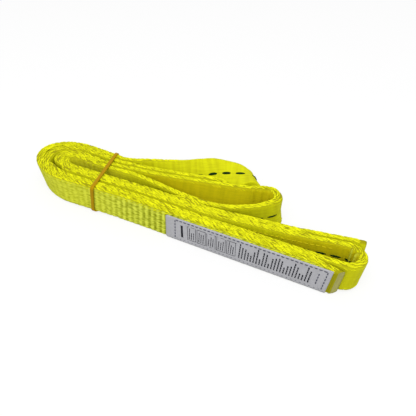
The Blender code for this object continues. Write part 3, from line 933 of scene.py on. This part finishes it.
def web_ring():
    """Points round the webbing's section, from the middle of its bottom edge, up the front face and round.

    Rows of face, share of the half width, and outward direction through and across.
    """
    rows = [(0, -1.0, 0.0, -1.0)]
    for angle in np.linspace(-math.pi / 2, 0.0, EDGE_STEPS + 1):
        rows.append((1, -1.0, math.cos(angle), math.sin(angle)))
    for share in np.linspace(-1.0, 1.0, FACE_STEPS + 1)[1:-1]:
        rows.append((1, share, 1.0, 0.0))
    for angle in np.linspace(0.0, math.pi / 2, EDGE_STEPS + 1):
        rows.append((1, 1.0, math.cos(angle), math.sin(angle)))
    front = np.array(rows)
    return np.vstack([front, [(0, 1.0, 0.0, 1.0)], front[::-1] * (-1.0, 1.0, -1.0, 1.0)])


def flare(distance):
    """How far the middle eye's lower edge stands out at its tip."""
    return FLARE * bell(distance, *FLARE_AT)


def web_outline(distance, ring):
    """Through and across of every point of the plain webbing, ring by ring."""
    reach, edge = STRAP.outline(distance)
    face, share, out_through, out_across = ring.T
    pick = (face > 0).astype(int)
    stand, round_off = reach[:, pick], edge[:, pick]
    through_by = face * (stand - round_off) + round_off * out_through
    through_by += np.where(face == 0, (reach[:, 1:] - reach[:, :1]) / 2, 0.0)
    across_by = share * (STRAP.half(distance)[:, None] - round_off) + round_off * out_across
    for side in (-1, 1):
        across_by += side * STRAP.edge_draw(distance, side)[:, None] * np.clip(side * share, 0.0, 1.0) ** 2
    return through_by - flare(distance)[:, None] * np.clip(share, 0.0, 1.0), across_by


def end_cut(distance, through_by, across_by):
    """How far the first cut end is cut back at each point: most at its foot and its front edge."""
    fade = np.clip(1.0 - distance / END_SKEW_LENGTH, 0.0, 1.0)
    foot = 0.5 - across_by / WEB_WIDTH
    front = np.clip(0.5 + through_by / WEB_THICKNESS, 0.0, 1.0)
    corner = np.clip(2 * across_by / WEB_WIDTH, 0.0, 1.0) ** END_CORNER_POWER
    return fade * (END_SKEW * foot + END_SLANT * front + END_CORNER * corner - END_REACH)


def rib_strength(distance):
    """How deep the ribs are: full near the front cut end, where the lap is sewn, and low elsewhere."""
    return blend(1.0, RIBS_LEAST, ramp(distance, RIBS_FULL, RIBS_LOW))


def rib_colour(distance):
    """How far the front ply shows its ribs' pale crests: not at its cut end or past the nested folds."""
    shown = ramp(distance, FRONT_END, RIBS_LOW) * ramp(distance, RIBS_CLEAR, 2 * RIBS_CLEAR)
    return np.sqrt(rib_strength(distance)) * shown


def rib_hollows(distance, across_by, pitch):
    """Distances skewed along the ribs, and how deep in a hollow between ribs each point is."""
    first, second = RIB_WANDER_LENGTHS
    wander = RIB_WANDER * np.sin(distance / first) * np.sin(distance / second)
    ribbed = (distance + wander)[:, None] + RIB_SKEW * across_by / WEB_WIDTH
    count = ribbed / pitch
    uneven = np.random.default_rng(SEED).uniform(1.0 - RIB_UNEVEN, 1.0, int(count.max()) + 3)
    strength = np.maximum(rib_strength(distance), INNER_DEPTH * bell(distance, *INNER_RIBS))
    strength = strength[:, None] * uneven[np.rint(count).astype(int) + 1]
    return ribbed, ramp(np.cos(2 * math.pi * count), 1.0, -1.0) * strength


def wrinkles(distance, middles):
    """How far the wrinkles inside a turn stand up."""
    return WRINKLE_RISE * sum(bell(distance, middle, WRINKLE_HALF_WIDTH) for middle in middles)


def braided(distance):
    """Where the selvage yarns lie."""
    start, end = SELVAGE_SMOOTH
    return ramp(distance, start, start - SELVAGE_RUN) + ramp(distance, end, end + SELVAGE_RUN)


def within(distance, start, end):
    """1 between the start and the end, with both faded."""
    return ramp(distance, start, start + PAINTED_SHADE_FADE) * ramp(distance, end, end - PAINTED_SHADE_FADE)


def painted_shade_share(distance, on_front, on_back):
    """How far a face takes the painted shade of being out of the light, inside the middle eye, the loop and the
    innermost fold.
    """
    back = within(distance, *PAINTED_SHADE_LOOP) + bell(distance, *INNER_RIBS)
    return within(distance, *PAINTED_SHADE_EYE)[:, None] * on_front + back[:, None] * on_back


def end_shadow(distance):
    """How dark the painted shadow of the cut end is on the loop's outer face, where the cut end lies against it.
    """
    start, most, end = END_SHADOW_LOOP
    return END_SHADOW_MOST * ramp(distance, start, start + PAINTED_SHADE_FADE) * ramp(distance, end, most)


class SLING_OT_webbing(bpy.types.Operator):
    """Weave the one length of webbing along its folded route"""

    bl_idname = "sling.webbing"
    bl_label = "Webbing"

    def execute(self, context):
        settings = context.scene.sling_webbing
        distance = stations()
        ring = web_ring()
        out_through, out_across = ring[:, 2], ring[:, 3]
        on_front, on_back = np.clip(out_through, 0.0, 1.0), np.clip(-out_through, 0.0, 1.0)
        inner = bell(distance, *INNER_RIBS)[:, None]
        wrinkled = wrinkles(distance, LOOP_WRINKLES)[:, None]
        through_by, across_by = web_outline(distance, ring)
        ribbed, hollow = rib_hollows(distance, across_by, settings.rib_pitch / MM)
        share = on_front + np.maximum(BACK_RIBS, inner) * on_back
        share = np.maximum(share, EDGE_SCALLOP * np.abs(out_across))
        sunk = hollow * share
        depth = wrinkled * on_back - settings.rib_depth / MM * sunk
        depth += wrinkles(distance, EYE_WRINKLES)[:, None] * on_front
        sealed = ramp(np.minimum(distance, STRAP.length - distance), SEALED_END, 0.0)[:, None]
        thin = 1.0 - (1.0 - SEALED_SHRINK) * sealed
        low = 1.0 - (1.0 - SEALED_SHRINK) * WEB_THICKNESS / WEB_WIDTH * sealed
        through_by = through_by * thin + out_through * depth
        across_by = across_by * low + out_across * depth
        along = np.broadcast_to(distance[:, None], across_by.shape)
        points = STRAP.at(along + end_cut(along, through_by, across_by), through_by, across_by)
        girth = np.cumsum(np.hypot(np.diff(through_by[0], prepend=0.0), np.diff(across_by[0], prepend=0.0)))
        uv = np.stack((ribbed, np.broadcast_to(girth, ribbed.shape)), axis=-1) * MM
        # Rib colours on the far wall of the innermost fold, and a painted highlight on the crests of the
        # wrinkles inside the loop
        pale = INNER_PALE * inner + wrinkled / WRINKLE_RISE
        # Darker towards the first cut end, and the painted shadow of the cut end on the loop's outer face
        darkened = np.maximum(ramp(distance, *END_DARKER)[:, None], end_shadow(distance)[:, None] * on_front)
        # Painted shade between the selvage yarns, on the strap's edges
        edges = braided(distance)[:, None] * ramp(np.abs(out_across), *EDGE_TURN)
        values = {
            "relief": 1.0 - sunk / share.max(),
            "ribbing": rib_colour(distance)[:, None] * on_front + pale * on_back,
            "painted_shade": painted_shade_share(distance, on_front, on_back),
            "selvage": np.maximum(edges, darkened),
        }
        mesh, bm = wrap("webbing_strap", points, uv, values)
        ends = bmesh.ops.holes_fill(bm, edges=[edge for edge in bm.edges if edge.is_boundary])["faces"]
        rims = bmesh.ops.inset_region(bm, faces=ends, thickness=SEAL_RIM * MM, depth=SEAL_DOME * MM)["faces"]
        for face in ends + rims:
            face.material_index = 1
        strap = add_object(
            "webbing_strap", close_mesh(mesh, bm), "sling", "webbing", webbing_material(settings),
            plain_material("heat-sealed polyester", settings.sealed),
        )
        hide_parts("webbing")
        return {"FINISHED"}


def selvage_rows(edge, start, distance, step):
    """Rows of yarns over an edge, beside it on a free face, and over a sewn pair's seam.

    Each is how late it starts, its place through the strap, its height, and which way a face row sinks.
    """
    reach, round_off = STRAP.outline(distance)
    half = STRAP.half(distance) + STRAP.edge_draw(distance, edge)
    room = reach.sum(axis=1) / 2 - SELVAGE_INSET
    rows = []
    for first, last, late in SELVAGE_ROWS:
        through_by = (reach[:, 1] - reach[:, 0]) / 2 + room * edge * blend(first, last, step)
        rows.append((late, through_by, STRAP.edge_height(distance, through_by, edge), 0.0))
    if start < FRONT_END and edge < 0.0:
        return rows
    for face, sign in FACES:
        if round_off[:, face].min() >= FREE_EDGE:
            rows.append((FACE_LATE, sign * reach[:, face], half - blend(*FACE_ROW, step), -sign))
        elif round_off[:, face].max() < SEAM_EDGE and (start - STRAP.length / 2) * sign > 0.0:
            slant = edge * SEAM_SLANT * (step - 0.5)
            rows.append((FACE_LATE, sign * reach[:, face] - slant, half - SEAM_DROP, 0.0))
    return rows


def selvage_lines(edge, settings, chance):
    """Lines and sizes of the yarns braided along one edge."""
    step = np.linspace(0.0, 1.0, SELVAGE_POINTS)
    pitch = settings.selvage_pitch / MM
    radius = settings.selvage_radius / MM
    lines, sizes = [], []
    starts = np.arange(SELVAGE_START, STRAP.length - SELVAGE_RUN - 2 * SELVAGE_START, pitch)
    for start in starts[(starts < SELVAGE_SMOOTH[0]) | (starts > SELVAGE_SMOOTH[1])]:
        distance = start + step * SELVAGE_RUN
        for late, through_by, height, inward in selvage_rows(edge, start, distance, step):
            girth = 1.0 - SELVAGE_UNEVEN * chance.uniform()
            shift = (late + SELVAGE_JITTER * chance.uniform(-1.0, 1.0)) * pitch
            sunk = (FACE_SINK if inward else SELVAGE_SINK) * girth * radius
            if chance.uniform() > SELVAGE_MISSING:
                down = height - sunk * (inward == 0.0)
                aside = through_by + inward * sunk - flare(distance) * (edge > 0.0)
                away = distance + end_cut(distance, aside, edge * down) + shift
                line = STRAP.at(away, aside, edge * down)
                line[:, 2] = np.maximum(line[:, 2], girth * settings.selvage_radius)
                lines.append(line)
                sizes.append(girth)
    return lines, sizes


class SLING_OT_selvage(bpy.types.Operator):
    """Braid the yarns along both edges of the webbing"""

    bl_idname = "sling.selvage"
    bl_label = "Selvage yarns"

    def execute(self, context):
        settings = context.scene.sling_webbing
        finish = plain_material("polyester selvage yarn", settings.pale)
        taper = 1.0 - SELVAGE_TAPER * np.linspace(-1.0, 1.0, SELVAGE_POINTS) ** 2
        chance = np.random.default_rng(SEED)
        for name, edge in (("selvage_yarns_a", 1.0), ("selvage_yarns_b", -1.0)):
            lines, sizes = selvage_lines(edge, settings, chance)
            mesh = yarns(name, lines, settings.selvage_radius * taper, sizes, rounding=0)
            add_object(name, mesh, "sling", "webbing", finish)
        return {"FINISHED"}


class SLING_OT_tracer(bpy.types.Operator):
    """Lay the dashes of tracer yarn along the middle of one face"""

    bl_idname = "sling.tracer"
    bl_label = "Tracer yarn"

    def execute(self, context):
        settings = context.scene.sling_webbing
        step = np.linspace(-1.0, 1.0, TRACER_POINTS)
        sink = TRACER_SINK * settings.tracer_radius / MM
        lines, sizes = [], []
        for first, last, middle, spacing, aside, girth in TRACER_RUNS:
            start, end = math.ceil((first - middle) / spacing), math.floor((last - middle) / spacing)
            for count in range(start, end + 1):
                distance = middle + count * spacing + step * settings.tracer_length / MM / 2
                face = STRAP.outline(distance)[0][:, 0] + wrinkles(distance, LOOP_WRINKLES)
                lines.append(STRAP.at(distance, girth * sink - face, np.full(TRACER_POINTS, aside)))
                sizes.append(girth)
        mesh = yarns("tracer_yarn", lines, settings.tracer_radius * (1.0 - TRACER_TAPER * step ** 4), sizes)
        add_object(
            "tracer_yarn", mesh, "sling", "webbing", plain_material("polyester tracer yarn", settings.tracer)
        )
        return {"FINISHED"}


def on_label(x, forward, z):
    """A point on the label's face, in metres, from the label's left edge and its lower edge.

    The label is skewed with the ply's ribs, more towards the cut end, and the ribs press through it.
    """
    skew = blend(*LABEL_SKEW, x / LABEL_LENGTH)
    at_x = LABEL_START_X + x - skew * (1.0 - z / LABEL_WIDTH)
    face_y = LABEL_FACE_Y + LABEL_WAVE * np.sin(2 * math.pi * at_x / LABEL_WAVE_LENGTH)
    return (np.array((at_x, face_y - forward, LABEL_BASE + z)) - BUNDLE_CENTRE) * MM


class SLING_OT_label(bpy.types.Operator):
    """Lay the label on the front ply"""

    bl_idname = "sling.label"
    bl_label = "Label"

    def execute(self, context):
        settings = context.scene.sling_label
        bm = bmesh.new()
        bmesh.ops.create_grid(bm, x_segments=int(LABEL_LENGTH), y_segments=int(LABEL_WIDTH), size=0.5)
        for vert in bm.verts:
            x, z = (vert.co.x + 0.5) * LABEL_LENGTH, (vert.co.y + 0.5) * LABEL_WIDTH
            if x in (0.0, LABEL_LENGTH) and z in (0.0, LABEL_WIDTH):
                x += LABEL_CORNER if x == 0.0 else -LABEL_CORNER
                z += LABEL_CORNER if z == 0.0 else -LABEL_CORNER
            vert.co = on_label(x, 0.0, z)
        made = bmesh.ops.extrude_face_region(bm, geom=bm.faces[:])["geom"]
        back = [item for item in made if isinstance(item, bmesh.types.BMVert)]
        bmesh.ops.translate(bm, vec=(0.0, LABEL_THICKNESS * MM, 0.0), verts=back)
        # The extrusion makes its faces in no set order
        bm.faces.sort(key=lambda side: side.calc_center_median().dot(FACE_ORDER))
        mesh = close_mesh(bpy.data.meshes.new("label_cloth"), bm)
        label = add_object("label_cloth", mesh, "sling", "label", label_material(settings))
        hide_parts("label")
        return {"FINISHED"}


def column(x, low, high, chance, width):
    """One line of print standing across the label, broken into words."""
    blocks = []
    z = low
    while z < high:
        tall = chance.uniform(*WORD_LENGTH)
        blocks.append((x, z + tall / 2, width, tall))
        z += tall + WORD_GAP
    return blocks


def print_blocks(pitch):
    """Blocks of ink as x, z, length along the label and height: a bar, framed boxes and columns of lines."""
    chance = np.random.default_rng(SEED)
    blocks = [PRINT_BAR]
    low = PRINT_MARGIN
    tall = LABEL_WIDTH - 2 * PRINT_MARGIN
    wide = BOX_PITCH - BOX_GAP
    for left in np.arange(*BOXES_X, BOX_PITCH):
        right = left + wide
        blocks += [(x, low + tall / 2, BOX_LINE, tall) for x in (left, right)]
        blocks += [(left + wide / 2, z, wide, BOX_LINE) for z in (low + tall, low)]
        for x in np.arange(left + BOX_INSET[0], right - BOX_INSET[1], BOX_LINE_PITCH):
            high = low + chance.uniform(*BOX_FILL) * tall
            blocks += column(x, low + BOX_GAP, high, chance, BOX_LINE_WIDTH)
    for x in np.arange(*LINES_X, pitch):
        blocks += column(x, low, low + chance.choice(LINE_FILLS) * tall, chance, LINE_WIDTH)
    return blocks


class SLING_OT_label_print(bpy.types.Operator):
    """Print plain bars, boxes and lines on the label"""

    bl_idname = "sling.label_print"
    bl_label = "Label print"

    def execute(self, context):
        settings = context.scene.sling_label
        bm = bmesh.new()
        for x, z, wide, tall in print_blocks(settings.line_pitch / MM):
            made = bmesh.ops.create_cube(bm, size=MM)["verts"]
            bmesh.ops.scale(bm, vec=(wide, 2 * PRINT_RISE, tall), verts=made)
            bmesh.ops.translate(bm, vec=on_label(x, 0.0, z), verts=made)
        mesh = close_mesh(bpy.data.meshes.new("label_print"), bm)
        add_object("label_print", mesh, "sling", "label", plain_material("printing ink", settings.ink))
        return {"FINISHED"}


def stitch_row(start, end, sunk=SHALLOW_ROW):
    """Stitches in a straight row on the label, in metres, sunk by so many millimetres at their ends."""
    start, end = np.array(start), np.array(end)
    count = max(1, round(np.linalg.norm(end - start) / LABEL_STITCH))
    step = np.linspace(-1.0, 1.0, STITCH_POINTS)
    rise = STITCH_CROWN * (1.0 - step ** 2) - sunk
    lines = []
    for number in range(count):
        middle = (number + 0.5) / count + step * STITCH_SHOWN / 2 / count
        flat = start + (end - start) * middle[:, None]
        lines.append(np.array([on_label(x, up, z) for (x, z), up in zip(flat, rise)]))
    return lines


class SLING_OT_label_stitches(bpy.types.Operator):
    """Sew the label down"""

    bl_idname = "sling.label_stitches"
    bl_label = "Label stitching"

    def execute(self, context):
        settings = context.scene.sling_label
        left, right = LABEL_SEAM_START, LABEL_LENGTH - LABEL_SEAM_END
        low, high = LABEL_SEAM_MARGIN, LABEL_WIDTH - LABEL_SEAM_MARGIN
        lines = stitch_row((left, low), (right, low), DEEP_ROW) + stitch_row((left, high), (right, high))
        lines += stitch_row((left, low), (left, high)) + stitch_row((right, low), (right, high))
        row = LABEL_LENGTH - LABEL_END_ROW
        lines += stitch_row((row, low + LABEL_END_MARGIN), (row, high - LABEL_END_MARGIN))
        finish = plain_material("polyester label thread", settings.thread)
        stitches = add_threads("label_stitches", lines, "label_thread", settings.thread_radius, finish)
        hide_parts("label_seam_thread", "label_end_thread")
        return {"FINISHED"}


class SLING_OT_lap_stitches(bpy.types.Operator):
    """Sew the two laps to the body"""

    bl_idname = "sling.lap_stitches"
    bl_label = "Lap stitching"

    def execute(self, context):
        settings = context.scene.sling_label
        step = np.linspace(-1.0, 1.0, STITCH_POINTS)
        crown = STITCH_CROWN * (1.0 - step ** 2)
        lines = []
        for stretch, first_x, last_x in LAP_FACES:
            start, end = sorted((STRAP.find(stretch, first_x), STRAP.find(stretch, last_x)))
            for middle in np.arange(start, end, STITCH_LENGTH) + STITCH_LENGTH / 2:
                distance = middle + step * STITCH_SHOWN * STITCH_LENGTH / 2
                reach, _ = STRAP.outline(distance)
                for height in (-LAP_ROW_HEIGHT, LAP_ROW_HEIGHT):
                    lines.append(STRAP.at(distance, -crown - reach[:, 0], np.full(STITCH_POINTS, height)))
        finish = plain_material("polyester body thread", settings.body_thread)
        stitches = add_threads("lap_stitches", lines, "body_thread", settings.thread_radius, finish)
        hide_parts(*[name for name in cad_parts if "_lap_" in name])
        return {"FINISHED"}


def rounded_rectangle(width, height, radius, corner_steps, side_steps):
    """Points round a rectangle with rounded corners, anticlockwise from its right side."""
    points = []
    corners = np.array(((1, -1), (1, 1), (-1, 1), (-1, -1))) * (width / 2 - radius, height / 2 - radius)
    for quarter, start in enumerate(corners):
        end = corners[(quarter + 1) % 4]
        angles = [math.pi / 2 * (quarter + step / corner_steps) for step in range(corner_steps)]
        out = [radius * np.array((math.cos(angle), math.sin(angle))) for angle in angles]
        points += [blend(start, end, step / side_steps) + out[0] for step in range(side_steps)]
        points += [end + off for off in out]
    return np.array(points)


class SLING_OT_rubber_band(bpy.types.Operator):
    """Put the rubber band round the waist of the bundle"""

    bl_idname = "sling.rubber_band"
    bl_label = "Rubber band"

    def execute(self, context):
        settings = context.scene.sling_band
        width = settings.width / MM
        stand_off = WEB_THICKNESS / 2 + BAND_CLEARANCE + BAND_THICKNESS / 2
        front = front_run(0, BAND_X + BAND_SKEW) - stand_off
        back = back_run(0, BAND_X - BAND_SKEW) + stand_off
        depth = back - front
        squeezed = WEB_WIDTH - BAND_SQUEEZE * BAND_LIFT
        height = squeezed + 2 * BAND_CLEARANCE + BAND_THICKNESS
        middle = np.array((BAND_X, (front + back) / 2, BAND_LIFT + squeezed / 2)) - BUNDLE_CENTRE
        hoop = rounded_rectangle(depth, height, BAND_CORNER, BAND_CORNER_STEPS, BAND_SIDE_STEPS)
        section = rounded_rectangle(width, BAND_THICKNESS, BAND_EDGE, BAND_EDGE_STEPS, BAND_FLAT_STEPS)
        section = np.vstack([section, section[:1]])
        ahead = np.roll(hoop, -1, axis=0) - np.roll(hoop, 1, axis=0)
        out = unit(np.column_stack((ahead[:, 1], -ahead[:, 0])))
        along = travelled(hoop)
        swell = 1.0 + BAND_SWELL * np.sin(along / BAND_SWELL_LENGTH)
        behind = 2 * hoop[:, 0] / depth
        fallen = BAND_FALL * np.clip(-behind, 0.0, 1.0) ** BAND_FALL_POWER * (hoop[:, 1] / height - 0.5)
        rings = np.empty((len(hoop), len(section), 3))
        rings[:, :, 0] = (fallen - BAND_SKEW * behind)[:, None] + section[:, 0] * swell[:, None]
        rings[:, :, 1:] = hoop[:, None] + section[:, 1:] * out[:, None]
        rings = np.concatenate([rings, rings[:1]]) + middle
        girth = np.arange(len(section)) / len(section) * 2 * (width + BAND_THICKNESS)
        length = np.append(along, along[-1] + BAND_CORNER / BAND_CORNER_STEPS)
        uv = np.stack(np.meshgrid(length, girth, indexing="ij"), axis=-1) * MM
        mesh, bm = wrap("rubber_band_strip", rings * MM, uv, {})
        band = add_object(
            "rubber_band_strip", close_mesh(mesh, bm), "band", "rubber",
            plain_material("natural rubber", settings.amber),
        )
        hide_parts("rubber_band")
        return {"FINISHED"}


class SLING_OT_stage(bpy.types.Operator):
    """Set the floor, the light and the camera"""

    bl_idname = "sling.stage"
    bl_label = "Stage"

    def execute(self, context):
        scene = context.scene
        settings = scene.sling_stage
        scene.view_settings.view_transform = "Standard"
        bm = bmesh.new()
        bmesh.ops.create_circle(bm, cap_ends=True, segments=FLOOR_SEGMENTS, radius=FLOOR_RADIUS)
        mesh = bpy.data.meshes.new("floor")
        bm.to_mesh(mesh)
        bm.free()
        mesh.materials.append(floor_material(settings))
        floor = link_object("floor", mesh)
        world = bpy.data.worlds.new("studio")
        world.use_nodes = True
        tree = world.node_tree
        ray = add_node(tree, "ShaderNodeLightPath", {}, "Is Camera Ray")
        seen = add_node(tree, "ShaderNodeMapRange", {"Value": ray, "To Min": settings.sky, "To Max": 1.0})
        set_inputs(tree, tree.nodes["Background"], {"Color": colour("#FFFFFF"), "Strength": seen})
        scene.world = world
        light = bpy.data.lights.new("overhead_lamp", "AREA")
        light.size = LAMP_SIZE
        light.energy = settings.lamp
        lamp = link_object("overhead_lamp", light)
        lamp.location = LAMP_PLACE
        lamp.rotation_euler = Vector(LAMP_PLACE).to_track_quat("Z", "Y").to_euler()
        lens = bpy.data.cameras.new("camera")
        lens.lens = CAMERA_LENS
        camera = link_object("camera", lens)
        camera.location = (np.array(CAMERA_PLACE) - BUNDLE_CENTRE) * MM
        camera.rotation_euler = [math.radians(turn) for turn in CAMERA_TURN]
        scene.camera = camera
        return {"FINISHED"}


STEPS = (
    SLING_OT_stage, SLING_OT_webbing, SLING_OT_selvage, SLING_OT_tracer, SLING_OT_label, SLING_OT_label_print,
    SLING_OT_label_stitches, SLING_OT_lap_stitches, SLING_OT_rubber_band,
)
GROUPS = {
    "sling_webbing": WebbingSettings, "sling_label": LabelSettings, "sling_band": BandSettings,
    "sling_stage": StageSettings,
}


class SLING_PT_parts(bpy.types.Panel):
    """The sling's pieces and their settings"""

    bl_label = "Webbing eye sling"
    bl_idname = "SLING_PT_parts"
    bl_space_type = "VIEW_3D"
    bl_region_type = "UI"
    bl_category = "Sling"

    def draw(self, context):
        for group, settings in GROUPS.items():
            box = self.layout.box()
            for name in settings.__annotations__:
                box.prop(getattr(context.scene, group), name)
        for step in STEPS:
            self.layout.operator(step.bl_idname)


def register():
    for group, settings in GROUPS.items():
        bpy.utils.register_class(settings)
        setattr(bpy.types.Scene, group, PointerProperty(type=settings))
    for step in STEPS:
        bpy.utils.register_class(step)
    bpy.utils.register_class(SLING_PT_parts)


def unregister():
    bpy.utils.unregister_class(SLING_PT_parts)
    for step in reversed(STEPS):
        bpy.utils.unregister_class(step)
    for group, settings in GROUPS.items():
        delattr(bpy.types.Scene, group)
        bpy.utils.unregister_class(settings)


def main():
    register()
    bpy.ops.sling.stage()
    bpy.ops.sling.webbing()
    bpy.ops.sling.selvage()
    bpy.ops.sling.tracer()
    bpy.ops.sling.label()
    bpy.ops.sling.label_print()
    bpy.ops.sling.label_stitches()
    bpy.ops.sling.lap_stitches()
    bpy.ops.sling.rubber_band()


if __name__ == "__main__":
    main()
